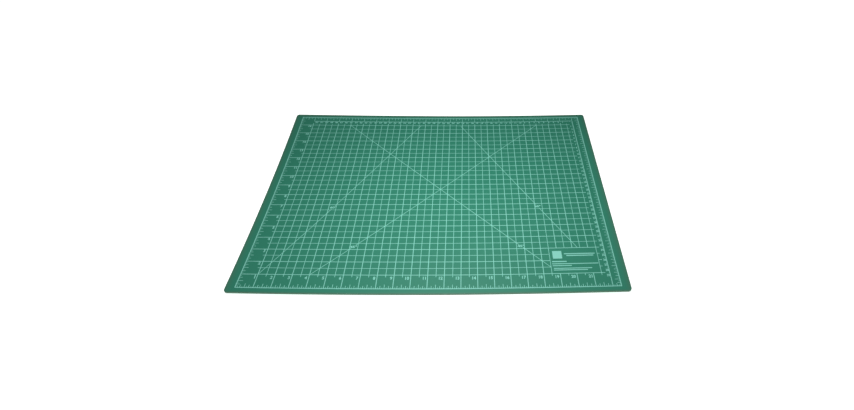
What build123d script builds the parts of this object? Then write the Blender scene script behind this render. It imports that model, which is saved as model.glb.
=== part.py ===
from build123d import *
from math import radians, tan
import os

# Flexible cutting mat, a laminated vinyl sheet with a printed measuring grid
#
# The mat lies flat with its printed face up. X runs along its long side, Y runs away from
# the user and Z is up. The origin is at the middle of the underside.
# All lengths are in millimetres.

# The sheet
mat_length = 600.0
mat_depth = 450.0
corner_radius = 5.5
bottom_ply_thickness = 1.0
core_ply_thickness = 1.0
top_ply_thickness = 1.0

# The printed film. Its grid repeats the inch
inch = 25.4
least_side_margin = 12.0
least_end_margin = 8.0
ink_thickness = 0.05
frame_width = 1.4
line_width = 1.1
guide_width = 0.8
line_overrun = 5.6

# Marks of the inch ruler, from the frame inwards. At the far side a whole inch has a mark as
# long as the gap between the frame and the centimetre ruler
inch_mark_width = 0.8
quarter_inch_mark = 4.4
half_inch_mark = 6.8
right_whole_inch_mark = 5.5

# Marks of the centimetre ruler, from its lines towards the grid. They are counted from
# just outside the grid's near-left corner
centimetre = 10.0
centimetre_lead = 1.2
centimetre_mark = 2.2
centimetre_mark_width = 0.55

# The layout, counted in half inches
halves_in_inch = 2
quarters_in_half = 2
quarters_in_inch = halves_in_inch * quarters_in_half
half_inch = inch / halves_in_inch
quarter_inch = inch / quarters_in_inch
band_halves = 2
cross_inset_halves = 6
panel_halves_wide = 6
panel_halves_deep = 4
cross_angle = 45
leaning_angle = 60

# The frame holds as many half inches as fit between the margins
frame_halves_x = int((mat_length - 2 * least_side_margin) / half_inch)
frame_halves_y = int((mat_depth - 2 * least_end_margin) / half_inch)
frame_length = frame_halves_x * half_inch
frame_depth = frame_halves_y * half_inch
frame_left = -frame_length / 2
frame_right = frame_length / 2
frame_front = -frame_depth / 2
frame_back = frame_depth / 2


def across(halves):
    """X of a place counted in half inches from the frame's left side."""
    return frame_left + halves * half_inch


def away(halves):
    """Y of a place counted in half inches from the frame's near side."""
    return frame_front + halves * half_inch


# The grid stands one band inside the frame. The centimetre ruler's lines stand half an
# inch outside the grid, behind it and to its right
last_column = frame_halves_x - band_halves
last_row = frame_halves_y - band_halves
grid_left = across(band_halves)
grid_right = across(last_column)
grid_front = away(band_halves)
grid_back = away(last_row)
grid_length = grid_right - grid_left
grid_depth = grid_back - grid_front
ruler_x = across(last_column + 1)
ruler_y = away(last_row + 1)

# The information panel is a clear corner of the grid
panel_left = across(last_column - panel_halves_wide)
panel_back = away(band_halves + panel_halves_deep)
panel_middle = ((panel_left + grid_right) / 2, (grid_front + panel_back) / 2)

# Heights of the faces where one layer lies on the next
core_height = bottom_ply_thickness
top_ply_height = core_height + core_ply_thickness
print_height = top_ply_height + top_ply_thickness

os.makedirs("parts", exist_ok=True)


# Three plies of one outline, bonded face to face
with BuildPart() as bottom_healing_ply:
    with BuildSketch(Plane.XY):
        RectangleRounded(mat_length, mat_depth, corner_radius)
    extrude(amount=bottom_ply_thickness)
bottom_healing_ply.part.label = "bottom_healing_ply"
export_step(bottom_healing_ply.part, "parts/bottom_healing_ply.step")

with BuildPart() as stiff_core_ply:
    with BuildSketch(Plane.XY.offset(core_height)):
        RectangleRounded(mat_length, mat_depth, corner_radius)
    extrude(amount=core_ply_thickness)
stiff_core_ply.part.label = "stiff_core_ply"
export_step(stiff_core_ply.part, "parts/stiff_core_ply.step")

with BuildPart() as top_healing_ply:
    with BuildSketch(Plane.XY.offset(top_ply_height)):
        RectangleRounded(mat_length, mat_depth, corner_radius)
    extrude(amount=top_ply_thickness)
top_healing_ply.part.label = "top_healing_ply"
export_step(top_healing_ply.part, "parts/top_healing_ply.step")

# The printed net is one film, in which every line joins the lines that it crosses
cross_lean = grid_depth / tan(radians(cross_angle))
inward_lean = grid_depth / tan(radians(leaning_angle))
cross_left = across(band_halves + cross_inset_halves)
cross_right = cross_left + cross_lean
line_edge = line_width / 2
frame_edge = frame_width / 2

with BuildPart() as printed_grid:
    with BuildSketch(Plane.XY.offset(print_height)):
        # Two guides make a cross, and the two steeper ones lean inwards
        with BuildLine():
            Line((cross_left, grid_front), (cross_right, grid_back))
            Line((cross_right, grid_front), (cross_left, grid_back))
            Line((grid_left, grid_front), (grid_left + inward_lean, grid_back))
            Line((grid_right, grid_front), (grid_right - inward_lean, grid_back))
        trace(line_width=guide_width)
        with Locations(((grid_left + grid_right) / 2, (grid_front + grid_back) / 2)):
            Rectangle(grid_length, grid_depth, mode=Mode.INTERSECT)

        # Inch lines start at the frame, cross the near and left bands and run past the grid
        with Locations(
            [(across(column), frame_front) for column in range(band_halves, last_column, halves_in_inch)]
        ):
            Rectangle(
                line_width, grid_back + line_overrun - frame_front, align=(Align.CENTER, Align.MIN)
            )
        with Locations([(frame_left, away(row)) for row in range(band_halves, last_row, halves_in_inch)]):
            Rectangle(grid_right + line_overrun - frame_left, line_width, align=(Align.MIN, Align.CENTER))

        # The grid's far side and right side
        with Locations((grid_right, grid_front - line_overrun)):
            Rectangle(line_width, grid_depth + 2 * line_overrun, align=(Align.CENTER, Align.MIN))
        with Locations((frame_left, grid_back)):
            Rectangle(grid_right + line_overrun - frame_left, line_width, align=(Align.MIN, Align.CENTER))

        # The panel is cleared, and a line closes its left side
        with Locations(panel_middle):
            Rectangle(
                grid_right - panel_left - line_width,
                panel_back - grid_front - line_width,
                mode=Mode.SUBTRACT,
            )
        with Locations((panel_left, grid_front)):
            Rectangle(line_width, panel_back - grid_front, align=(Align.CENTER, Align.MIN))

        # The centimetre ruler's two lines meet at the far right
        with Locations((ruler_x, frame_front)):
            Rectangle(line_width, ruler_y - frame_front, align=(Align.CENTER, Align.MIN))
        with Locations((grid_left, ruler_y)):
            Rectangle(ruler_x - grid_left + line_edge, line_width, align=(Align.MIN, Align.CENTER))

        # The frame
        with Locations((0, frame_front), (0, frame_back)):
            Rectangle(frame_length + frame_width, frame_width)
        with Locations((frame_left, 0), (frame_right, 0)):
            Rectangle(frame_width, frame_depth + frame_width)
    extrude(amount=ink_thickness)
printed_grid.part.label = "printed_grid"
export_step(printed_grid.part, "parts/printed_grid.step")

# Marks of the inch ruler stand on all four sides of the frame. At whole inches the near
# and left sides have the grid's own lines
quarters_x = quarters_in_half * frame_halves_x
quarters_y = quarters_in_half * frame_halves_y
far_whole_inch_mark = half_inch - frame_edge - line_edge

with BuildPart() as inch_ruler_marks:
    with BuildSketch(Plane.XY.offset(print_height)):
        for mark, first, step in (
            (quarter_inch_mark, 1, quarters_in_half),
            (half_inch_mark, quarters_in_half, quarters_in_inch),
        ):
            places_x = [frame_left + n * quarter_inch for n in range(first, quarters_x, step)]
            places_y = [frame_front + n * quarter_inch for n in range(first, quarters_y, step)]
            with Locations([(x, frame_back - frame_edge) for x in places_x]):
                Rectangle(inch_mark_width, mark, align=(Align.CENTER, Align.MAX))
            with Locations([(x, frame_front + frame_edge) for x in places_x]):
                Rectangle(inch_mark_width, mark, align=(Align.CENTER, Align.MIN))
            with Locations([(frame_right - frame_edge, y) for y in places_y]):
                Rectangle(mark, inch_mark_width, align=(Align.MAX, Align.CENTER))
            with Locations([(frame_left + frame_edge, y) for y in places_y]):
                Rectangle(mark, inch_mark_width, align=(Align.MIN, Align.CENTER))

        inches_x = [across(n) for n in range(halves_in_inch, frame_halves_x, halves_in_inch)]
        inches_y = [away(n) for n in range(halves_in_inch, frame_halves_y, halves_in_inch)]
        with Locations([(x, frame_back - frame_edge) for x in inches_x]):
            Rectangle(inch_mark_width, far_whole_inch_mark, align=(Align.CENTER, Align.MAX))
        with Locations([(frame_right - frame_edge, y) for y in inches_y]):
            Rectangle(right_whole_inch_mark, inch_mark_width, align=(Align.MAX, Align.CENTER))
    extrude(amount=ink_thickness)
inch_ruler_marks.part.label = "inch_ruler_marks"
export_step(inch_ruler_marks.part, "parts/inch_ruler_marks.step")

# Marks of the centimetre ruler start half an inch outside the grid and point towards it
marks_left = grid_left - centimetre_lead
marks_front = grid_front - centimetre_lead
centimetres_x = int((ruler_x - line_edge - marks_left) / centimetre)
centimetres_y = int((ruler_y - line_edge - marks_front) / centimetre)

with BuildPart() as centimetre_ruler_marks:
    with BuildSketch(Plane.XY.offset(print_height)):
        with Locations(
            [(marks_left + n * centimetre, ruler_y - line_edge) for n in range(1, centimetres_x + 1)]
        ):
            Rectangle(centimetre_mark_width, centimetre_mark, align=(Align.CENTER, Align.MAX))
        with Locations(
            [(ruler_x - line_edge, marks_front + n * centimetre) for n in range(1, centimetres_y + 1)]
        ):
            Rectangle(centimetre_mark, centimetre_mark_width, align=(Align.MAX, Align.CENTER))
    extrude(amount=ink_thickness)
centimetre_ruler_marks.part.label = "centimetre_ruler_marks"
export_step(centimetre_ruler_marks.part, "parts/centimetre_ruler_marks.step")
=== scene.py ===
# %% [markdown]
# # A self-healing cutting mat
#
# The object is a craft mat of about 60 by 45 centimetres and 3 millimetres thick. Three vinyl
# plies are bonded face to face, and the top one carries a printed grid with an inch ruler, a
# centimetre ruler and angle guides. The mat has been kept rolled, so its left side still curls
# up a little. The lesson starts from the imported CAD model, which is flat, and dresses it.

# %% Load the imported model
import math

import bmesh
import bpy
from mathutils import Matrix, Vector


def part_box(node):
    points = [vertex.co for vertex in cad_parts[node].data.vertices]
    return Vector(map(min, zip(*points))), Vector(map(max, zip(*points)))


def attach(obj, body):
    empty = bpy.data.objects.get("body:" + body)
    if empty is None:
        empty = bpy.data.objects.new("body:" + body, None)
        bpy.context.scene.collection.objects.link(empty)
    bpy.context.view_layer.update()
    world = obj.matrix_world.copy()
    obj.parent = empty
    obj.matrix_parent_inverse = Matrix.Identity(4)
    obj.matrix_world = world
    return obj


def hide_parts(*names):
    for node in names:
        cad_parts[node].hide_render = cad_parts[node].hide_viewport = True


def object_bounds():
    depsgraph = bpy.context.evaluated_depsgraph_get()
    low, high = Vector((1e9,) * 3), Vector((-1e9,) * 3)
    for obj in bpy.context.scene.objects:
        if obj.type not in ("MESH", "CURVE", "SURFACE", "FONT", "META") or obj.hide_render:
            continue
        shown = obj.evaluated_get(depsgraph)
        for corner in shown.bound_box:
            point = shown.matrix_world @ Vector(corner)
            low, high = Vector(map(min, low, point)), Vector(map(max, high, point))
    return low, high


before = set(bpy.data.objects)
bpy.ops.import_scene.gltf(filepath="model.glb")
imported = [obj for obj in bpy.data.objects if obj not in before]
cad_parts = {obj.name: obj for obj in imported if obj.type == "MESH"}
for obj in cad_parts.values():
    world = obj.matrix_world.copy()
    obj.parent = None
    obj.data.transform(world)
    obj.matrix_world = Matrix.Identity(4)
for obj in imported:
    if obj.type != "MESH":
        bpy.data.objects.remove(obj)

cad_low, cad_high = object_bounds()
MM = 0.001
print("nodes", sorted(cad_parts))
print("box in mm", [round(v / MM, 2) for v in (*cad_low, *cad_high)])

# %% [markdown]
# ## The places of the print
#
# Everything printed repeats the inch. The CAD's own net says where the frame is, so the four
# sides are read from its box, and all other places are counted from them in inches. Reading
# them keeps the print where the CAD has it, which copying numbers would not. The frame and
# the strong lines are as wide as the CAD's.

# %% Read the frame's sides and set out the layout
inch = 25.4 * MM
half_inch = inch / 2
frame_width = 1.4 * MM
half_frame = frame_width / 2
line_width = 1.1 * MM
half_line = line_width / 2
net_low, net_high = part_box("printed_grid")
frame_left = net_low.x + half_frame
frame_right = net_high.x - half_frame
frame_front = net_low.y + half_frame
frame_back = net_high.y - half_frame
print_height = net_low.z


def across(inches):
    """X of a place counted in inches from the frame's left side."""
    return frame_left + inches * inch


def away(inches):
    """Y of a place counted in inches from the frame's near side."""
    return frame_front + inches * inch


frame_length = frame_right - frame_left
frame_depth = frame_back - frame_front
grid_left = across(1)
grid_right = frame_right - inch
grid_front = away(1)
grid_back = frame_back - inch
ruler_x = grid_right + half_inch
ruler_y = grid_back + half_inch
print("frame in inches", round(frame_length / inch, 3), round(frame_depth / inch, 3))

# %% [markdown]
# ## The camera
#
# The photograph looks down at the mat from its near side at about 45 degrees, through a rather
# wide lens. The place, the turn and the lens were found by laying the CAD's grid over the
# photograph's. A small sideways shift stands for the cropping of the picture.

# %% Set the camera
camera_place = Vector((56.2, -655.1, 622.9)) * MM
camera_turn = math.radians(2.35)
camera_dip = math.radians(45.19)
camera_lean = math.radians(1.45)
lens_length = 21.131
lens_shift = -0.06551
nearest_seen = 10 * MM

camera_data = bpy.data.cameras.new("photograph_camera")
camera_data.lens = lens_length
camera_data.shift_x = lens_shift
camera_data.clip_start = nearest_seen
camera = bpy.data.objects.new("photograph_camera", camera_data)
camera.matrix_world = (
    Matrix.Translation(camera_place)
    @ Matrix.Rotation(-camera_turn, 4, "Z")
    @ Matrix.Rotation(math.pi / 2 - camera_dip, 4, "X")
    @ Matrix.Rotation(camera_lean, 4, "Z")
)
bpy.context.scene.collection.objects.link(camera)
bpy.context.scene.camera = camera
print("camera at", [round(v, 4) for v in camera.location])

# %% [markdown]
# ## The studio
#
# The photograph was cut out on white, so the floor is plain and nearly white. One soft box
# hangs above the near half of the mat. It makes the middle brighter than the far corners and
# leaves a broad sheen near the front. A grey world fills in the rest.

# %% Make the floor, the soft box and the world
floor_size = 14.0
floor_gap = 0.1 * MM
floor_colour = (0.93, 0.93, 0.93, 1.0)
floor_glow = 1.0
floor_roughness = 0.9
box_place = Vector((0.025, -0.085, 0.525))
box_size = 0.26
box_power = 2.4
fill_strength = 0.12
backdrop_colour = (1.0, 1.0, 1.0, 1.0)

floor_mesh = bpy.data.meshes.new("studio_floor")
half_floor = floor_size / 2
floor_corners = [(-1, -1), (1, -1), (1, 1), (-1, 1)]
floor_points = [(x * half_floor, y * half_floor, -floor_gap) for x, y in floor_corners]
floor_mesh.from_pydata(floor_points, [], [(0, 1, 2, 3)])
floor = bpy.data.objects.new("studio_floor", floor_mesh)
bpy.context.scene.collection.objects.link(floor)
floor_paint = bpy.data.materials.new("studio_floor")
floor_paint.use_nodes = True
floor_shader = floor_paint.node_tree.nodes["Principled BSDF"]
floor_shader.inputs["Base Color"].default_value = floor_colour
floor_shader.inputs["Roughness"].default_value = floor_roughness
floor_shader.inputs["Emission Color"].default_value = floor_colour
floor_shader.inputs["Emission Strength"].default_value = floor_glow
floor_mesh.materials.append(floor_paint)

box_data = bpy.data.lights.new("soft_box", "AREA")
box_data.shape = "SQUARE"
box_data.size = box_size
box_data.energy = box_power
soft_box = bpy.data.objects.new("soft_box", box_data)
soft_box.location = box_place
soft_box.visible_camera = False
bpy.context.scene.collection.objects.link(soft_box)

world = bpy.data.worlds.new("studio_world")
world.use_nodes = True
bpy.context.scene.world = world
world_nodes = world.node_tree.nodes
world_links = world.node_tree.links
fill = world_nodes["Background"]
fill.inputs["Strength"].default_value = fill_strength
backdrop = world_nodes.new("ShaderNodeBackground")
backdrop.inputs["Color"].default_value = backdrop_colour
fill.inputs["Color"].default_value = backdrop_colour
seen = world_nodes.new("ShaderNodeLightPath")
either = world_nodes.new("ShaderNodeMixShader")
world_links.new(seen.outputs["Is Camera Ray"], either.inputs["Fac"])
world_links.new(fill.outputs["Background"], either.inputs[1])
world_links.new(backdrop.outputs["Background"], either.inputs[2])
world_links.new(either.outputs["Shader"], world_nodes["World Output"].inputs["Surface"])
bpy.context.scene.view_settings.view_transform = "Standard"
print("studio ready, soft box", box_power, "W")

# %% [markdown]
# ## Helpers for node trees
#
# Geometry and shader trees are both made of nodes and links. An input of the helper may be a
# plain number or the output of another node.


# %% Define the node helpers
def arithmetic(tree, operation, first, second=None):
    """Adds a Math node and returns its output."""
    node = tree.nodes.new("ShaderNodeMath")
    node.operation = operation
    for socket, source in zip(node.inputs, (first, second)):
        if source is None:
            continue
        if isinstance(source, (int, float)):
            socket.default_value = source
        else:
            tree.links.new(source, socket)
    return node.outputs["Value"]


def add_inputs(tree, kinds):
    """Declares a tree's named inputs, from a dictionary of name to socket type."""
    for name, kind in kinds.items():
        tree.interface.new_socket(name=name, in_out="INPUT", socket_type=kind)
    return tree.nodes.new("NodeGroupInput").outputs


def finish_tree(tree, geometry, material):
    """Ends a geometry tree in real faces that carry the material."""
    tree.interface.new_socket(name="Geometry", in_out="OUTPUT", socket_type="NodeSocketGeometry")
    realize = tree.nodes.new("GeometryNodeRealizeInstances")
    paint = tree.nodes.new("GeometryNodeSetMaterial")
    output = tree.nodes.new("NodeGroupOutput")
    tree.links.new(geometry, realize.inputs["Geometry"])
    tree.links.new(realize.outputs["Geometry"], paint.inputs["Geometry"])
    tree.links.new(material, paint.inputs["Material"])
    tree.links.new(paint.outputs["Geometry"], output.inputs["Geometry"])


def add_tree(maker, tree, values):
    """Puts a geometry tree on an object and sets its inputs by their identifiers."""
    modifier = maker.modifiers.new(tree.name, "NODES")
    modifier.node_group = tree
    for item in tree.interface.items_tree:
        if item.item_type == "SOCKET" and item.in_out == "INPUT" and item.name in values:
            modifier[item.identifier] = values[item.name]


def plain_mesh(maker, name):
    """Turns an object with all its modifiers into a plain mesh and removes the object."""
    graph = bpy.context.evaluated_depsgraph_get()
    mesh = bpy.data.meshes.new_from_object(maker.evaluated_get(graph))
    mesh.name = name
    bpy.data.objects.remove(maker)
    return mesh


FLOAT = "NodeSocketFloat"
WHOLE = "NodeSocketInt"
PLACE = "NodeSocketVector"
PAINT = "NodeSocketMaterial"
SHAPE = "NodeSocketGeometry"
COLOUR = "NodeSocketColor"
print("helpers ready")

# %% [markdown]
# ## Effects that several finishes share
#
# The plies and the ink have the same fine pebble, which the press leaves in soft vinyl. Their
# colour drifts a little from place to place, and the rim is greyer where hands hold the mat.
# The rim's mask fades with the square of the distance, and it fades sooner at the near side, so the near
# rim keeps more of the plain green: a painted sheen. Each effect is a shader group, so that a change to
# it reaches every finish. A group gives out a height, a colour or a mask, never a shader.


# %% Build the shader groups
def shader_group(name, inputs, output, kind):
    """Starts a shader group and returns its tree, its input sockets and its output node."""
    tree = bpy.data.node_groups.new(name, "ShaderNodeTree")
    tree.interface.new_socket(name=output, in_out="OUTPUT", socket_type=kind)
    sockets = add_inputs(tree, inputs)
    return tree, sockets, tree.nodes.new("NodeGroupOutput")


def noise(tree, scale, detail, roughness):
    """Adds a noise texture on Object coordinates and returns its output."""
    where = tree.nodes.new("ShaderNodeTexCoord")
    texture = tree.nodes.new("ShaderNodeTexNoise")
    texture.inputs["Detail"].default_value = detail
    texture.inputs["Roughness"].default_value = roughness
    tree.links.new(where.outputs["Object"], texture.inputs["Vector"])
    tree.links.new(scale, texture.inputs["Scale"])
    return texture.outputs["Fac"]


grain_noise = {"detail": 3.0, "roughness": 0.55}
scuff_noise = {"detail": 4.0, "roughness": 0.6}
patch_noise = {"detail": 2.0, "roughness": 0.5}
speck_noise = {"detail": 2.0, "roughness": 0.6}

pebble, pebble_in, pebble_out = shader_group(
    "vinyl_pebble",
    {"Grains per Metre": FLOAT, "Scuffs per Metre": FLOAT, "Scuff Share": FLOAT},
    "Height",
    FLOAT,
)
grains = noise(pebble, pebble_in["Grains per Metre"], **grain_noise)
scuffs = noise(pebble, pebble_in["Scuffs per Metre"], **scuff_noise)
scuffed = arithmetic(pebble, "MULTIPLY", scuffs, pebble_in["Scuff Share"])
pebble.links.new(arithmetic(pebble, "ADD", grains, scuffed), pebble_out.inputs["Height"])

drift, drift_in, drift_out = shader_group(
    "colour_drift",
    {"Deep": COLOUR, "Light": COLOUR, "Patches per Metre": FLOAT, "Specks per Metre": FLOAT},
    "Color",
    COLOUR,
)
patches = noise(drift, drift_in["Patches per Metre"], **patch_noise)
specks = noise(drift, drift_in["Specks per Metre"], **speck_noise)
blend = arithmetic(drift, "MULTIPLY", arithmetic(drift, "ADD", patches, specks), 0.5)
drift_mix = drift.nodes.new("ShaderNodeMix")
drift_mix.data_type = "RGBA"
drift.links.new(blend, drift_mix.inputs["Factor"])
drift.links.new(drift_in["Deep"], drift_mix.inputs["A"])
drift.links.new(drift_in["Light"], drift_mix.inputs["B"])
drift.links.new(drift_mix.outputs["Result"], drift_out.inputs["Color"])

rim, rim_in, rim_out = shader_group(
    "handled_rim_and_near_sheen",
    {"Half Length": FLOAT, "Half Depth": FLOAT, "Reach": FLOAT, "Near Sheen Ease": FLOAT},
    "Mask",
    FLOAT,
)
rim_where = rim.nodes.new("ShaderNodeTexCoord")
rim_parts = rim.nodes.new("ShaderNodeSeparateXYZ")
rim.links.new(rim_where.outputs["Object"], rim_parts.inputs["Vector"])
along_x = arithmetic(rim, "ABSOLUTE", rim_parts.outputs["X"])
from_end = arithmetic(rim, "SUBTRACT", rim_in["Half Length"], along_x)
from_far = arithmetic(rim, "SUBTRACT", rim_in["Half Depth"], rim_parts.outputs["Y"])
from_near = arithmetic(rim, "ADD", rim_in["Half Depth"], rim_parts.outputs["Y"])
# The near side's distance is stretched, so the greyer rim is narrower there and the near rim stays
# lighter: a painted sheen.
sheen_eased_near = arithmetic(rim, "MULTIPLY", from_near, rim_in["Near Sheen Ease"])
nearest = arithmetic(rim, "MINIMUM", from_end, arithmetic(rim, "MINIMUM", from_far, sheen_eased_near))
inwards = arithmetic(rim, "DIVIDE", nearest, rim_in["Reach"])
rim_limit = rim.nodes.new("ShaderNodeClamp")
rim.links.new(arithmetic(rim, "SUBTRACT", 1.0, inwards), rim_limit.inputs["Value"])
rim_wear_and_sheen_mask = arithmetic(rim, "MULTIPLY", rim_limit.outputs["Result"], rim_limit.outputs["Result"])
rim.links.new(rim_wear_and_sheen_mask, rim_out.inputs["Mask"])
print("shader groups", pebble.name, drift.name, rim.name)

# %% [markdown]
# ## The finishes
#
# The vinyl is matte with a soft broad sheen. The core is stiffer, greyer stock that shows only
# as a thin band at the cut edge. The ink is a pale mint film, thin enough to follow the pebble
# under it. All of them take the same groups with their own values.

# %% Make the materials
half_length = (cad_high.x - cad_low.x) / 2
half_depth = (cad_high.y - cad_low.y) / 2
rim_reach = 12 * MM
# How much sooner the greyer rim fades at the near side; the lighter near rim that this leaves is a
# painted sheen.
near_sheen_ease = 2.5
vinyl_deep = (0.033, 0.266, 0.171, 1.0)
vinyl_light = (0.042, 0.302, 0.195, 1.0)
vinyl_handled = (0.078, 0.236, 0.150, 1.0)
core_deep = (0.115, 0.155, 0.105, 1.0)
core_light = (0.155, 0.200, 0.140, 1.0)
ink_deep = (0.285, 0.790, 0.645, 1.0)
ink_light = (0.325, 0.840, 0.702, 1.0)
patches_per_metre = 9.0
specks_per_metre = 1400.0
grains_per_metre = 1800.0
scuffs_per_metre = 160.0
scuff_share = 0.6
bump_strength = 0.5
vinyl_specular = 0.3


def finish(name, deep, light, handled, rough, grain_depth):
    """Makes one printed or vinyl finish from the shared groups."""
    paint = bpy.data.materials.new(name)
    paint.use_nodes = True
    tree = paint.node_tree
    shader = tree.nodes["Principled BSDF"]
    colour = tree.nodes.new("ShaderNodeGroup")
    colour.node_tree = drift
    colour.inputs["Deep"].default_value = deep
    colour.inputs["Light"].default_value = light
    colour.inputs["Patches per Metre"].default_value = patches_per_metre
    colour.inputs["Specks per Metre"].default_value = specks_per_metre
    result = colour.outputs["Color"]
    if handled:
        # The rim mask greys the rim and keeps the near rim lighter; the lighter near rim is a painted
        # sheen.
        mask = tree.nodes.new("ShaderNodeGroup")
        mask.node_tree = rim
        mask.inputs["Half Length"].default_value = half_length
        mask.inputs["Half Depth"].default_value = half_depth
        mask.inputs["Reach"].default_value = rim_reach
        mask.inputs["Near Sheen Ease"].default_value = near_sheen_ease
        greyer = tree.nodes.new("ShaderNodeMix")
        greyer.data_type = "RGBA"
        greyer.inputs["B"].default_value = handled
        tree.links.new(mask.outputs["Mask"], greyer.inputs["Factor"])
        tree.links.new(result, greyer.inputs["A"])
        result = greyer.outputs["Result"]
    tree.links.new(result, shader.inputs["Base Color"])
    shader.inputs["Roughness"].default_value = rough
    shader.inputs["Specular IOR Level"].default_value = vinyl_specular
    height = tree.nodes.new("ShaderNodeGroup")
    height.node_tree = pebble
    height.inputs["Grains per Metre"].default_value = grains_per_metre
    height.inputs["Scuffs per Metre"].default_value = scuffs_per_metre
    height.inputs["Scuff Share"].default_value = scuff_share
    bump = tree.nodes.new("ShaderNodeBump")
    bump.inputs["Strength"].default_value = bump_strength
    bump.inputs["Distance"].default_value = grain_depth
    tree.links.new(height.outputs["Height"], bump.inputs["Height"])
    tree.links.new(bump.outputs["Normal"], shader.inputs["Normal"])
    return paint


face_wear = {"rough": 0.50, "grain_depth": 0.06 * MM}
back_wear = {"rough": 0.58, "grain_depth": 0.09 * MM}
core_wear = {"rough": 0.65, "grain_depth": 0.05 * MM}
ink_wear = {"rough": 0.52, "grain_depth": 0.04 * MM}
green_vinyl = finish("green_vinyl_face", vinyl_deep, vinyl_light, vinyl_handled, **face_wear)
green_back = finish("green_vinyl_back", vinyl_deep, vinyl_light, vinyl_handled, **back_wear)
core_stock = finish("grey_core_stock", core_deep, core_light, None, **core_wear)
mint_ink = finish("pale_mint_ink", ink_deep, ink_light, None, **ink_wear)
print("materials", [m.name for m in (green_vinyl, green_back, core_stock, mint_ink)])

# %% [markdown]
# ## The curl
#
# A mat that was kept rolled lifts at its two ends. From a line near the middle the sheet rises
# with the square of the distance. The right end rises evenly, and the left end rises most at
# its near corner. One geometry tree holds this rule and goes on every piece, so that the plies
# and the print curl together. The lift stays below a centimetre.

# %% Build the tree that curls a flat piece
corner_lift = 9.8 * MM
curl_start = 79 * MM
calm_line = 53 * MM
right_lift = 4.5 * MM
rim_segments = 2
crease_angle = math.radians(25)

curl = bpy.data.node_groups.new("storage_curl", "GeometryNodeTree")
curl_in = add_inputs(
    curl,
    {
        "Geometry": SHAPE,
        "Corner Lift": FLOAT,
        "Curl Start": FLOAT,
        "Calm Line": FLOAT,
        "Left End": FLOAT,
        "Near End": FLOAT,
        "Right Lift": FLOAT,
        "Right End": FLOAT,
        "Material": PAINT,
    },
)
curl_where = curl.nodes.new("GeometryNodeInputPosition")
curl_parts = curl.nodes.new("ShaderNodeSeparateXYZ")
curl.links.new(curl_where.outputs["Position"], curl_parts.inputs["Vector"])
past_start = arithmetic(curl, "SUBTRACT", curl_in["Curl Start"], curl_parts.outputs["X"])
curl_reach = arithmetic(curl, "SUBTRACT", curl_in["Curl Start"], curl_in["Left End"])
along = arithmetic(curl, "MAXIMUM", arithmetic(curl, "DIVIDE", past_start, curl_reach), 0.0)
from_calm = arithmetic(curl, "SUBTRACT", curl_in["Calm Line"], curl_parts.outputs["Y"])
calm_reach = arithmetic(curl, "SUBTRACT", curl_in["Calm Line"], curl_in["Near End"])
aside = arithmetic(curl, "DIVIDE", from_calm, calm_reach)
aside_square = arithmetic(curl, "MULTIPLY", aside, aside)
left_full = arithmetic(curl, "MULTIPLY", aside_square, curl_in["Corner Lift"])
along_square = arithmetic(curl, "MULTIPLY", along, along)
left_part = arithmetic(curl, "MULTIPLY", along_square, left_full)
past_middle = arithmetic(curl, "DIVIDE", curl_parts.outputs["X"], curl_in["Right End"])
rightwards = arithmetic(curl, "MAXIMUM", past_middle, 0.0)
right_square = arithmetic(curl, "MULTIPLY", rightwards, rightwards)
right_part = arithmetic(curl, "MULTIPLY", right_square, curl_in["Right Lift"])
lift = arithmetic(curl, "ADD", left_part, right_part)
upwards = curl.nodes.new("ShaderNodeCombineXYZ")
curl.links.new(lift, upwards.inputs["Z"])
raise_points = curl.nodes.new("GeometryNodeSetPosition")
curl.links.new(curl_in["Geometry"], raise_points.inputs["Geometry"])
curl.links.new(upwards.outputs["Vector"], raise_points.inputs["Offset"])
finish_tree(curl, raise_points.outputs["Geometry"], curl_in["Material"])


def laid_piece(name, flat_mesh, thickness, material, nodes=(), rim_width=0.0):
    """Thickens a flat mesh, curls it with the mat and makes it a piece of the object."""
    maker = bpy.data.objects.new(name + "_maker", flat_mesh)
    bpy.context.scene.collection.objects.link(maker)
    if thickness:
        thicken = maker.modifiers.new("thickness", "SOLIDIFY")
        thicken.thickness = thickness
        thicken.offset = 1
    if rim_width:
        soften = maker.modifiers.new("rim", "BEVEL")
        soften.width = rim_width
        soften.segments = rim_segments
        soften.limit_method = "ANGLE"
    lift_values = {
        "Corner Lift": corner_lift,
        "Curl Start": curl_start,
        "Calm Line": calm_line,
        "Left End": -half_length,
        "Near End": -half_depth,
        "Right Lift": right_lift,
        "Right End": half_length,
        "Material": material,
    }
    add_tree(maker, curl, lift_values)
    mesh = plain_mesh(maker, name)
    mesh.polygons.foreach_set("use_smooth", [True] * len(mesh.polygons))
    mesh.set_sharp_from_angle(angle=crease_angle)
    piece = bpy.data.objects.new(name, mesh)
    bpy.context.scene.collection.objects.link(piece)
    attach(piece, "root")
    if nodes:
        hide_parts(*nodes)
    highest = max(v.co.z for v in mesh.vertices)
    triangles = sum(len(p.vertices) - 2 for p in mesh.polygons)
    print(name, triangles, "triangles, highest point", round(highest / MM, 2), "mm")
    return piece


# %% [markdown]
# ## The three plies
#
# Every ply is one rounded sheet. A flat slab has too few points to bend, so the sheet is made
# as a net of half-inch squares. At the corners the square rings of points are pulled in to
# round ones, which keeps every face a clean quad. Solidify gives the thickness and Bevel the
# soft rim that the cutting die leaves. The core is pinched in a little at the edge.

# %% Make the plies
corner_radius = 5.5 * MM
corner_steps = 5
core_pinch = 0.12 * MM
ply_rim = 0.18 * MM


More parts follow.
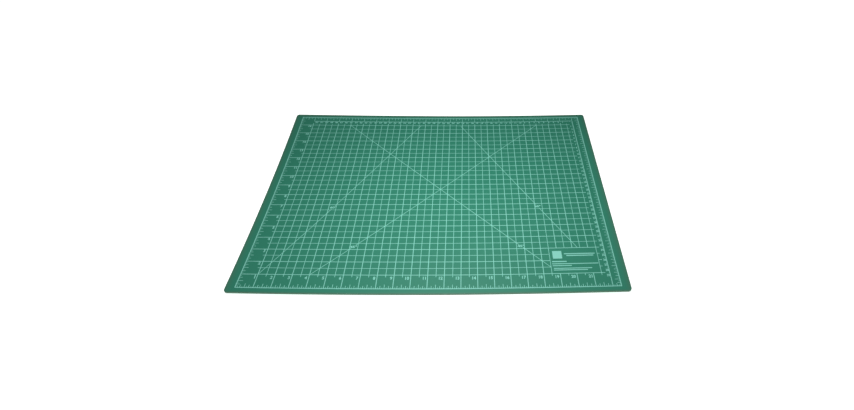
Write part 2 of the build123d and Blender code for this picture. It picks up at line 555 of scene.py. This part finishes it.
def rounded_sheet(low, high, radius):
    """A flat sheet of quads with round corners, at the lower corner's height."""
    bends = [radius * (1 - math.tan(math.pi / 4 * (1 - n / corner_steps))) for n in range(corner_steps)]
    sides = []
    for start, end in ((low.x, high.x), (low.y, high.y)):
        cells = math.ceil((end - start - 2 * radius) / half_inch)
        step = (end - start - 2 * radius) / cells
        middle = [start + radius + n * step for n in range(cells + 1)]
        sides.append([start + b for b in bends] + middle + [end - b for b in reversed(bends)])
    points = []
    for x in sides[0]:
        for y in sides[1]:
            centre_x = min(max(x, low.x + radius), high.x - radius)
            centre_y = min(max(y, low.y + radius), high.y - radius)
            dx = x - centre_x
            dy = y - centre_y
            if dx and dy:
                pull = max(abs(dx), abs(dy)) / math.hypot(dx, dy)
                points.append((centre_x + dx * pull, centre_y + dy * pull, low.z))
            else:
                points.append((x, y, low.z))
    rows = len(sides[1])
    quads = []
    for i in range(len(sides[0]) - 1):
        for j in range(rows - 1):
            corner = i * rows + j
            quads.append((corner, corner + rows, corner + rows + 1, corner + 1))
    mesh = bpy.data.meshes.new("rounded_sheet")
    mesh.from_pydata(points, [], quads)
    return mesh


ply_specs = (
    ("curled_bottom_ply", "bottom_healing_ply", 0.0, green_back, "green_vinyl"),
    ("curled_core_ply", "stiff_core_ply", core_pinch, core_stock, "core_vinyl"),
    ("curled_top_ply", "top_healing_ply", 0.0, green_vinyl, "green_vinyl"),
)
for ply_name, node, pinch, paint, ply_slot in ply_specs:
    low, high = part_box(node)
    inset = Vector((pinch, pinch, 0))
    sheet = rounded_sheet(low + inset, high - inset, corner_radius - pinch)
    laid_piece(ply_name, sheet, high.z - low.z, paint, [node], 0.0 if pinch else ply_rim)

# %% [markdown]
# ## The ruled grid
#
# The grid has a line at every half inch, a strong one at whole inches and a finer one between
# them, and the lines run a few millimetres past the grid's sides. Crossing strips would lie in
# one another, so the net is cut from one sheet instead: a grid of points is pushed to both
# edges of every line, and the squares between the lines are deleted. The information panel is
# a larger hole of the same kind. That rule suits Geometry Nodes.

# %% Build the tree of the ruled grid
ruled = bpy.data.node_groups.new("ruled_grid", "GeometryNodeTree")
ruled_in = add_inputs(
    ruled,
    {
        "Columns": WHOLE,
        "Rows": WHOLE,
        "Pitch": FLOAT,
        "First X": FLOAT,
        "First Y": FLOAT,
        "Strong Line": FLOAT,
        "Fine Line": FLOAT,
        "Stub": FLOAT,
        "Height": FLOAT,
        "Panel Left": FLOAT,
        "Panel Back": FLOAT,
        "Material": PAINT,
    },
)


def width_of_line(number):
    """Width of a line, which is strong where its number is even."""
    odd = arithmetic(ruled, "MODULO", number, 2.0)
    gain = arithmetic(ruled, "SUBTRACT", ruled_in["Fine Line"], ruled_in["Strong Line"])
    return arithmetic(ruled, "ADD", ruled_in["Strong Line"], arithmetic(ruled, "MULTIPLY", gain, odd))


def line_edge_place(step, first, count):
    """Place of the step-th row of points: the two edges of each line, and the stubs' ends."""
    shifted = arithmetic(ruled, "SUBTRACT", step, 1.0)
    number = arithmetic(ruled, "FLOOR", arithmetic(ruled, "DIVIDE", shifted, 2.0))
    side = arithmetic(ruled, "SUBTRACT", shifted, arithmetic(ruled, "MULTIPLY", number, 2.0))
    offset = arithmetic(ruled, "SUBTRACT", side, 0.5)
    spread = arithmetic(ruled, "MULTIPLY", offset, width_of_line(arithmetic(ruled, "ABSOLUTE", number)))
    centre = arithmetic(ruled, "ADD", first, arithmetic(ruled, "MULTIPLY", number, ruled_in["Pitch"]))
    place = arithmetic(ruled, "ADD", centre, spread)
    lowest = arithmetic(ruled, "SUBTRACT", first, ruled_in["Stub"])
    pitches = arithmetic(ruled, "MULTIPLY", arithmetic(ruled, "SUBTRACT", count, 1.0), ruled_in["Pitch"])
    highest = arithmetic(ruled, "ADD", arithmetic(ruled, "ADD", first, pitches), ruled_in["Stub"])
    return arithmetic(ruled, "MINIMUM", arithmetic(ruled, "MAXIMUM", place, lowest), highest)


def on_a_line(place, first, count):
    """1 where a place lies within a line, and 0 elsewhere."""
    pitches = arithmetic(ruled, "DIVIDE", arithmetic(ruled, "SUBTRACT", place, first), ruled_in["Pitch"])
    last = arithmetic(ruled, "SUBTRACT", count, 1.0)
    number = arithmetic(ruled, "MAXIMUM", arithmetic(ruled, "ROUND", pitches), 0.0)
    number = arithmetic(ruled, "MINIMUM", number, last)
    off = arithmetic(ruled, "ABSOLUTE", arithmetic(ruled, "SUBTRACT", pitches, number))
    distance = arithmetic(ruled, "MULTIPLY", off, ruled_in["Pitch"])
    half_width = arithmetic(ruled, "MULTIPLY", width_of_line(number), 0.5)
    return arithmetic(ruled, "LESS_THAN", distance, half_width)


net = ruled.nodes.new("GeometryNodeMeshGrid")
steps = {}
for side, count in (("X", "Columns"), ("Y", "Rows")):
    points_along = arithmetic(ruled, "ADD", arithmetic(ruled, "MULTIPLY", ruled_in[count], 2.0), 2.0)
    unit_size = arithmetic(ruled, "SUBTRACT", points_along, 1.0)
    ruled.links.new(points_along, net.inputs["Vertices " + side])
    ruled.links.new(unit_size, net.inputs["Size " + side])
    steps[side] = arithmetic(ruled, "MULTIPLY", unit_size, 0.5)

net_where = ruled.nodes.new("GeometryNodeInputPosition")
net_parts = ruled.nodes.new("ShaderNodeSeparateXYZ")
net_place = ruled.nodes.new("ShaderNodeCombineXYZ")
ruled.links.new(net_where.outputs["Position"], net_parts.inputs["Vector"])
for side, count, first in (("X", "Columns", "First X"), ("Y", "Rows", "First Y")):
    step = arithmetic(ruled, "ROUND", arithmetic(ruled, "ADD", net_parts.outputs[side], steps[side]))
    ruled.links.new(line_edge_place(step, ruled_in[first], ruled_in[count]), net_place.inputs[side])
ruled.links.new(ruled_in["Height"], net_place.inputs["Z"])
push = ruled.nodes.new("GeometryNodeSetPosition")
ruled.links.new(net.outputs["Mesh"], push.inputs["Geometry"])
ruled.links.new(net_place.outputs["Vector"], push.inputs["Position"])

face_where = ruled.nodes.new("GeometryNodeInputPosition")
face_parts = ruled.nodes.new("ShaderNodeSeparateXYZ")
ruled.links.new(face_where.outputs["Position"], face_parts.inputs["Vector"])
face_x = face_parts.outputs["X"]
face_y = face_parts.outputs["Y"]
on_column = on_a_line(face_x, ruled_in["First X"], ruled_in["Columns"])
on_row = on_a_line(face_y, ruled_in["First Y"], ruled_in["Rows"])
between = arithmetic(ruled, "LESS_THAN", arithmetic(ruled, "ADD", on_column, on_row), 0.5)
half_strong = arithmetic(ruled, "MULTIPLY", ruled_in["Strong Line"], 0.5)
last_column = arithmetic(
    ruled, "MULTIPLY", arithmetic(ruled, "SUBTRACT", ruled_in["Columns"], 1.0), ruled_in["Pitch"]
)
panel_right = arithmetic(ruled, "ADD", ruled_in["First X"], last_column)
panel_tests = (
    ("GREATER_THAN", face_x, arithmetic(ruled, "ADD", ruled_in["Panel Left"], half_strong)),
    ("LESS_THAN", face_x, arithmetic(ruled, "SUBTRACT", panel_right, half_strong)),
    ("GREATER_THAN", face_y, arithmetic(ruled, "ADD", ruled_in["First Y"], half_strong)),
    ("LESS_THAN", face_y, arithmetic(ruled, "SUBTRACT", ruled_in["Panel Back"], half_strong)),
)
in_panel = 1.0
for comparison, place, limit in panel_tests:
    in_panel = arithmetic(ruled, "MULTIPLY", arithmetic(ruled, comparison, place, limit), in_panel)
cut = ruled.nodes.new("GeometryNodeDeleteGeometry")
cut.domain = "FACE"
ruled.links.new(push.outputs["Geometry"], cut.inputs["Geometry"])
ruled.links.new(arithmetic(ruled, "MAXIMUM", between, in_panel), cut.inputs["Selection"])
finish_tree(ruled, cut.outputs["Geometry"], ruled_in["Material"])
print("ruled grid tree has", len(ruled.nodes), "nodes")

# %% [markdown]
# ## Laying the ink
#
# Screen-printed ink stands a few hundredths of a millimetre above the vinyl. It is thickened
# from flat faces, and then curled with the sheet below it. The panel's place is counted back
# from the grid's right side, as on the real mat.

# %% Run the grid tree and lay the net on the mat
fine_width = 0.82 * MM
ink_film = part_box("printed_grid")[1].z - print_height
grid_stub = 4.2 * MM
inch_stub = 5.6 * MM
panel_left = grid_right - 3 * inch
panel_back = grid_front + 2 * inch


def tree_mesh(tree, values):
    """Runs a geometry tree on an empty mesh and returns what it makes."""
    maker = bpy.data.objects.new(tree.name, bpy.data.meshes.new(tree.name))
    bpy.context.scene.collection.objects.link(maker)
    add_tree(maker, tree, values)
    return plain_mesh(maker, tree.name)


grid_values = {
    "Columns": round((grid_right - grid_left) / half_inch) + 1,
    "Rows": round((grid_back - grid_front) / half_inch) + 1,
    "Pitch": half_inch,
    "First X": grid_left,
    "First Y": grid_front,
    "Strong Line": line_width,
    "Fine Line": fine_width,
    "Stub": grid_stub,
    "Height": print_height,
    "Panel Left": panel_left,
    "Panel Back": panel_back,
    "Material": mint_ink,
}
grid_mesh = tree_mesh(ruled, grid_values)
laid_piece("printed_half_inch_grid", grid_mesh, ink_film, mint_ink, ["printed_grid"])

# %% [markdown]
# ## The frame and the ruler lines
#
# The frame, the inch lines of the near and left bands and the two lines of the centimetre
# ruler are long strips that meet. A list of rectangles is laid over a net of all their edges,
# and every square of the net that some rectangle covers becomes a face. The strips join
# without lying in one another. Extra cuts at every half inch let them bend.


# %% Make the frame and the ruler lines
cut_digits = 7


def joined_rectangles(name, rectangles, cuts_x, cuts_y):
    """One flat mesh of overlapping rectangles, cut so that it can bend."""
    sides_x = [v for r in rectangles for v in (r[0], r[2])]
    sides_y = [v for r in rectangles for v in (r[1], r[3])]
    xs = sorted({round(v, cut_digits) for v in (*sides_x, *cuts_x)})
    ys = sorted({round(v, cut_digits) for v in (*sides_y, *cuts_y)})
    numbers = {}
    points = []
    quads = []

    def point(i, j):
        if (i, j) not in numbers:
            numbers[(i, j)] = len(points)
            points.append((xs[i], ys[j], print_height))
        return numbers[(i, j)]

    for i in range(len(xs) - 1):
        x = (xs[i] + xs[i + 1]) / 2
        over = [r for r in rectangles if r[0] < x < r[2]]
        for j in range(len(ys) - 1):
            y = (ys[j] + ys[j + 1]) / 2
            if any(r[1] < y < r[3] for r in over):
                quads.append((point(i, j), point(i + 1, j), point(i + 1, j + 1), point(i, j + 1)))
    mesh = bpy.data.meshes.new(name)
    mesh.from_pydata(points, [], quads)
    return mesh


def strip(x0, y0, x1, y1, width=line_width):
    """A rectangle along a line between two places."""
    half = width / 2
    if y0 == y1:
        return (x0, y0 - half, x1, y0 + half)
    return (x0 - half, y0, x0 + half, y1)


frame_strips = [
    strip(frame_left - half_frame, frame_front, frame_right + half_frame, frame_front, frame_width),
    strip(frame_left - half_frame, frame_back, frame_right + half_frame, frame_back, frame_width),
    strip(frame_left, frame_front, frame_left, frame_back, frame_width),
    strip(frame_right, frame_front, frame_right, frame_back, frame_width),
    strip(ruler_x, frame_front, ruler_x, ruler_y + half_line),
    strip(grid_left, ruler_y, ruler_x, ruler_y),
]
columns = int((grid_right - frame_left) / inch)
rows = round((grid_back - frame_front) / inch)
for n in range(1, columns + 1):
    frame_strips.append(strip(across(n), frame_front, across(n), grid_front - grid_stub))
    frame_strips.append(strip(across(n), grid_back + grid_stub, across(n), grid_back + inch_stub))
for n in range(1, rows + 1):
    frame_strips.append(strip(frame_left, away(n), grid_left - grid_stub, away(n)))
    frame_strips.append(strip(grid_right + grid_stub, away(n), grid_right + inch_stub, away(n)))
bend_x = [frame_left + n * half_inch for n in range(1, round(frame_length / half_inch))]
bend_y = [frame_front + n * half_inch for n in range(1, round(frame_depth / half_inch))]
frame_mesh = joined_rectangles("ruler_frame", frame_strips, bend_x, bend_y)
laid_piece("printed_ruler_frame", frame_mesh, ink_film, mint_ink)

# %% [markdown]
# ## The marks of the rulers
#
# A ruler is one row of marks whose length follows from their number: every eighth inch has a
# short mark, every quarter a longer one, and so on. A mesh line gives the points, the number's
# remainder picks the length, and a small box is placed on every point. The same tree makes the
# millimetre marks, with tens and fives instead of eighths. A length of nothing leaves a mark
# out, where the grid has a line already.

# %% Build the tree of a ruler's row of marks
marks = bpy.data.node_groups.new("ruler_marks", "GeometryNodeTree")
marks_in = add_inputs(
    marks,
    {
        "Marks": WHOLE,
        "Start": PLACE,
        "Step": PLACE,
        "Turn": FLOAT,
        "Fine Mark": FLOAT,
        "Short Mark": FLOAT,
        "Middle Mark": FLOAT,
        "Long Mark": FLOAT,
        "Short Every": WHOLE,
        "Middle Every": WHOLE,
        "Long Every": WHOLE,
        "Fine Width": FLOAT,
        "Width": FLOAT,
        "Film": FLOAT,
        "Material": PAINT,
    },
)
row_of_points = marks.nodes.new("GeometryNodeMeshLine")
marks.links.new(marks_in["Marks"], row_of_points.inputs["Count"])
marks.links.new(marks_in["Start"], row_of_points.inputs["Start Location"])
marks.links.new(marks_in["Step"], row_of_points.inputs["Offset"])
counted = arithmetic(marks, "ADD", marks.nodes.new("GeometryNodeInputIndex").outputs["Index"], 1.0)
mark_length = marks_in["Fine Mark"]
mark_width = marks_in["Fine Width"]


def picked(test, otherwise, chosen):
    """Adds a switch between two numbers and returns its output."""
    switch = marks.nodes.new("GeometryNodeSwitch")
    switch.input_type = "FLOAT"
    marks.links.new(test, switch.inputs["Switch"])
    marks.links.new(otherwise, switch.inputs["False"])
    marks.links.new(chosen, switch.inputs["True"])
    return switch.outputs["Output"]


for rank in ("Short", "Middle", "Long"):
    remainder = arithmetic(marks, "MODULO", counted, marks_in[rank + " Every"])
    falls_on = arithmetic(marks, "LESS_THAN", remainder, 0.5)
    mark_length = picked(falls_on, mark_length, marks_in[rank + " Mark"])
    mark_width = picked(falls_on, mark_width, marks_in["Width"])
least_length = 0.01 * MM
long_enough = arithmetic(marks, "GREATER_THAN", mark_length, least_length)

block = marks.nodes.new("GeometryNodeMeshCube")
block_base = marks.nodes.new("GeometryNodeTransform")
block_base.inputs["Translation"].default_value = (0.0, 0.5, 0.5)
marks.links.new(block.outputs["Mesh"], block_base.inputs["Geometry"])
mark_scale = marks.nodes.new("ShaderNodeCombineXYZ")
marks.links.new(mark_width, mark_scale.inputs["X"])
marks.links.new(mark_length, mark_scale.inputs["Y"])
marks.links.new(marks_in["Film"], mark_scale.inputs["Z"])
mark_turn = marks.nodes.new("ShaderNodeCombineXYZ")
marks.links.new(marks_in["Turn"], mark_turn.inputs["Z"])
turn_as_rotation = marks.nodes.new("FunctionNodeEulerToRotation")
marks.links.new(mark_turn.outputs["Vector"], turn_as_rotation.inputs["Euler"])
placed = marks.nodes.new("GeometryNodeInstanceOnPoints")
marks.links.new(row_of_points.outputs["Mesh"], placed.inputs["Points"])
marks.links.new(long_enough, placed.inputs["Selection"])
marks.links.new(block_base.outputs["Geometry"], placed.inputs["Instance"])
marks.links.new(turn_as_rotation.outputs["Rotation"], placed.inputs["Rotation"])
marks.links.new(mark_scale.outputs["Vector"], placed.inputs["Scale"])
finish_tree(marks, placed.outputs["Instances"], marks_in["Material"])
print("ruler mark tree has", len(marks.nodes), "nodes")

# %% [markdown]
# ## Running the mark tree for every side
#
# The inch ruler stands on all four sides of the frame, and its marks point inwards. The far and
# right sides have whole-inch marks, and the near and left sides have the grid's lines there.
# The centimetre ruler's marks point towards the grid from its own two lines. They are spaced
# from a place just outside the grid's near left corner.


# %% Make the marks of both rulers
def merged(name, meshes):
    """Puts several meshes into one and removes them."""
    gathered = bmesh.new()
    for mesh in meshes:
        gathered.from_mesh(mesh)
        bpy.data.meshes.remove(mesh)
    whole = bpy.data.meshes.new(name)
    gathered.to_mesh(whole)
    gathered.free()
    return whole


eighth = inch / 8
inch_marks = {
    "Fine Mark": 2.2 * MM,
    "Short Mark": 4.4 * MM,
    "Middle Mark": 6.8 * MM,
    "Short Every": 2,
    "Middle Every": 4,
    "Long Every": 8,
    "Fine Width": 0.5 * MM,
    "Width": 0.8 * MM,
    "Film": ink_film,
    "Material": mint_ink,
}
far_inch_mark = half_inch - half_frame - half_line
right_inch_mark = 5.5 * MM
marks_x = round(frame_length / eighth) - 1
marks_y = round(frame_depth / eighth) - 1
near_edge = frame_front + half_frame
far_edge = frame_back - half_frame
left_edge = frame_left + half_frame
right_edge = frame_right - half_frame
inch_rows = (
    (marks_x, (frame_left + eighth, near_edge), (eighth, 0.0), 0.0, 0.0),
    (marks_x, (frame_left + eighth, far_edge), (eighth, 0.0), math.pi, far_inch_mark),
    (marks_y, (left_edge, frame_front + eighth), (0.0, eighth), -math.pi / 2, 0.0),
    (marks_y, (right_edge, frame_front + eighth), (0.0, eighth), math.pi / 2, right_inch_mark),
)


def mark_rows(name, rows_of_marks, shared):
    """Runs the mark tree for every row and merges the rows."""
    meshes = []
    for count, start, step, turn, long_mark in rows_of_marks:
        values = dict(shared)
        values["Marks"] = count
        values["Start"] = (*start, print_height)
        values["Step"] = (*step, 0.0)
        values["Turn"] = turn
        values["Long Mark"] = long_mark
        meshes.append(tree_mesh(marks, values))
    return merged(name, meshes)


inch_mark_mesh = mark_rows("inch_marks", inch_rows, inch_marks)
laid_piece("printed_inch_marks", inch_mark_mesh, 0.0, mint_ink, ["inch_ruler_marks"])

centimetre = 10 * MM
millimetre = 1 * MM
centimetre_marks = {
    "Fine Mark": 0.8 * MM,
    "Short Mark": 1.1 * MM,
    "Middle Mark": 1.1 * MM,
    "Short Every": 5,
    "Middle Every": 5,
    "Long Every": 10,
    "Fine Width": 0.18 * MM,
    "Width": 0.55 * MM,
    "Film": ink_film,
    "Material": mint_ink,
}
centimetre_mark = 2.2 * MM
centimetre_lead = 1.2 * MM
marks_left = grid_left - centimetre_lead
marks_front = grid_front - centimetre_lead
centimetres_x = int((ruler_x - half_line - marks_left) / centimetre)
centimetres_y = int((ruler_y - half_line - marks_front) / centimetre)
steps_in_centimetre = round(centimetre / millimetre)
centimetre_rows = (
    (
        centimetres_x * steps_in_centimetre,
        (marks_left + millimetre, ruler_y - half_line),
        (millimetre, 0.0),
        math.pi,
        centimetre_mark,
    ),
    (
        centimetres_y * steps_in_centimetre,
        (ruler_x - half_line, marks_front + millimetre),
        (0.0, millimetre),
        math.pi / 2,
        centimetre_mark,
    ),
)
centimetre_mesh = mark_rows("centimetre_marks", centimetre_rows, centimetre_marks)
laid_piece(
    "printed_centimetre_marks", centimetre_mesh, 0.0, mint_ink, ["centimetre_ruler_marks"]
)

# %% [markdown]
# ## The angle guides
#
# Two guides at 45 degrees cross in the grid, and two at 60 degrees lean inwards from its near
# corners. Each is a narrow strip along a straight line, with a break where its number stands
# and another where it would cross the panel. The film is a little thinner than the grid's, so
# the guides pass under its lines.

# %% Make the angle guides
guide_width = 0.85 * MM
guide_film_share = 0.8
guide_film = ink_film * guide_film_share
guide_inset = 3 * inch
label_gap = 0.17 * inch
guide_step = half_inch
grid_depth = grid_back - grid_front
lean_45 = grid_depth
lean_60 = grid_depth / math.tan(math.radians(60))
cross_left = grid_left + guide_inset
cross_right = cross_left + lean_45
label_place_45 = away(3.22)
label_place_60 = away(6.73)
guide_specs = (
    ("45", cross_left, cross_right, label_place_45),
    ("45", cross_right, cross_left, label_place_45),
    ("60", grid_left, grid_left + lean_60, label_place_60),
    ("60", grid_right, grid_right - lean_60, label_place_60),
)


def guide_strip(points, quads, start, end):
    """Adds a strip of short quads between two places."""
    way = end - start
    sideways = Vector((-way.y, way.x, 0)).normalized() * (guide_width / 2)
    pieces = max(1, math.ceil(way.length / guide_step))
    first = len(points)
    for n in range(pieces + 1):
        place = start + way * (n / pieces)
        points.append(place - sideways)
        points.append(place + sideways)
    for n in range(pieces):
        at = first + 2 * n
        quads.append((at, at + 2, at + 3, at + 1))


guide_points = []
guide_quads = []
guide_labels = []
for number, near_x, far_x, label_y in guide_specs:
    near = Vector((near_x, grid_front, print_height))
    far = Vector((far_x, grid_back, print_height))
    way = far - near
    middle = near + way * ((label_y - grid_front) / way.y)
    guide_labels.append((number, middle))
    gap = way.normalized() * label_gap
    start = near
    if panel_left < near_x <= grid_right:
        leaving_back = near + way * ((panel_back - grid_front) / way.y)
        leaving_left = near + way * ((panel_left - near_x) / way.x)
        start = leaving_back if leaving_back.x > panel_left else leaving_left
    clear_end = way.normalized() * line_width
    guide_strip(guide_points, guide_quads, start + clear_end, middle - gap)
    guide_strip(guide_points, guide_quads, middle + gap, far - clear_end)
guide_mesh = bpy.data.meshes.new("angle_guides")
guide_mesh.from_pydata(guide_points, [], guide_quads)
laid_piece("printed_angle_guides", guide_mesh, guide_film, mint_ink)

# %% [markdown]
# ## The numbers
#
# A text object gives the numerals. It is made a flat mesh first, then scaled to the measured
# height and width of one numeral. The inch numbers end beside their lines, so they are set
# down by their right sides. The centimetre numbers count from the far right corner and line
# up by their left sides. All numbers of one ruler become one mesh, which is thickened and
# curled like the lines. A coarse curve is enough for numerals of three to six millimetres.


# %% Define how a number is made
numeral_weight = 0.035
numeral_curve_steps = 3


def flat_text(digits):
    """A flat mesh of some digits at Blender's own size."""
    curve = bpy.data.curves.new("number", "FONT")
    curve.body = digits
    curve.resolution_u = numeral_curve_steps
    curve.offset = numeral_weight
    maker = bpy.data.objects.new("number", curve)
    bpy.context.scene.collection.objects.link(maker)
    mesh = plain_mesh(maker, "number")
    bpy.data.curves.remove(curve)
    return mesh


def spans(mesh):
    """Lowest and highest x and y of a mesh."""
    xs = [v.co.x for v in mesh.vertices]
    ys = [v.co.y for v in mesh.vertices]
    return min(xs), max(xs), min(ys), max(ys)


model_numeral = flat_text("8")
model_spans = spans(model_numeral)
numeral_width = model_spans[1] - model_spans[0]
numeral_height = model_spans[3] - model_spans[2]
bpy.data.meshes.remove(model_numeral)
left_share = 0.0
middle_share = 0.5
right_share = 1.0


def number_at(digits, place_x, place_y, width, height, anchor_share=middle_share):
    """A flat number, set down by a point at a share of its width and half its height."""
    mesh = flat_text(digits)
    x0, x1, y0, y1 = spans(mesh)
    scale = Matrix.Diagonal((width / numeral_width, height / numeral_height, 1.0, 1.0))
    anchor_x = x0 + (x1 - x0) * anchor_share
    to_anchor = Matrix.Translation((-anchor_x, -(y0 + y1) / 2, 0))
    mesh.transform(Matrix.Translation((place_x, place_y, print_height)) @ scale @ to_anchor)
    return mesh


print("one numeral is", round(numeral_width, 3), "by", round(numeral_height, 3))

# %% Make the inch numbers
inch_numeral = (3.5 * MM, 5.9 * MM)
near_left_of_line = 0.095 * inch
near_row = away(0.768)
left_column = across(0.89)
left_below_line = 0.14 * inch
inch_numbers = []
for n in range(1, columns + 1):
    place = across(n) - near_left_of_line
    inch_numbers.append(number_at(str(n), place, near_row, *inch_numeral, right_share))
for n in range(1, rows + 1):
    place = away(n) - left_below_line
    inch_numbers.append(number_at(str(n), left_column, place, *inch_numeral, right_share))
inch_number_mesh = merged("inch_numbers", inch_numbers)
laid_piece("printed_inch_numbers", inch_number_mesh, ink_film, mint_ink)

# %% [markdown]
# The centimetre numbers and those of the guides get a thicker film than the lines, because
# they cover the ends of some marks and guides.

# %% Make the centimetre numbers
far_numeral = (2.8 * MM, 4.6 * MM)
right_numeral = (2.4 * MM, 4.6 * MM)
number_film_share = 1.4
number_film = ink_film * number_film_share
far_row = away(16.35)
far_left_of_mark = 6.1 * MM
right_column = ruler_x - 5.4 * MM
right_below_mark = 3.9 * MM
centimetre_numbers = []
for n in range(1, centimetres_x):
    place = marks_left + n * centimetre - far_left_of_mark
    number = str(centimetres_x - n)
    centimetre_numbers.append(number_at(number, place, far_row, *far_numeral, left_share))
for n in range(0, centimetres_y):
    place = marks_front + n * centimetre - right_below_mark
    number = str(centimetres_y - n)
    centimetre_numbers.append(number_at(number, right_column, place, *right_numeral, left_share))
centimetre_number_mesh = merged("centimetre_numbers", centimetre_numbers)
laid_piece("printed_centimetre_numbers", centimetre_number_mesh, number_film, mint_ink)

# %% Make the numbers of the angle guides
label_numeral = (4.0 * MM, 4.8 * MM)
label_numbers = []
for number, middle in guide_labels:
    label_numbers.append(number_at(number + "\N{DEGREE SIGN}", middle.x, middle.y, *label_numeral))
label_mesh = merged("angle_numbers", label_numbers)
laid_piece("printed_angle_numbers", label_mesh, number_film, mint_ink)

# %% [markdown]
# ## The information panel
#
# The clear corner of the grid holds a small plain square and seven plain bars. The two beside
# the square and the first one below it are the strongest. All are rectangles, joined and cut
# as the frame was.

# %% Make the panel's square and bars
square_spans = (18.697, 2.148, 19.277, 2.752)
heading_rows = ((19.42, 2.52, 21.35), (19.56, 2.375, 21.24))
title_rows = ((18.61, 1.915, 19.51),)
note_rows = ((18.60, 1.74, 21.44), (18.61, 1.595, 19.78), (18.66, 1.392, 21.00), (18.64, 1.265, 20.72))
heading_height = 0.075 * inch
title_height = 0.08 * inch
note_height = 0.06 * inch
square_left, square_front, square_right, square_back = square_spans
square = (across(square_left), away(square_front), across(square_right), away(square_back))
panel_shapes = [square]
bar_groups = ((heading_rows, heading_height), (title_rows, title_height), (note_rows, note_height))
for bars, bar_height in bar_groups:
    for bar_start, bar_row, bar_end in bars:
        row_y = away(bar_row)
        panel_shapes.append(strip(across(bar_start), row_y, across(bar_end), row_y, bar_height))
panel_mesh = joined_rectangles("panel_print", panel_shapes, bend_x, bend_y)
laid_piece("printed_panel_bars", panel_mesh, ink_film, mint_ink)
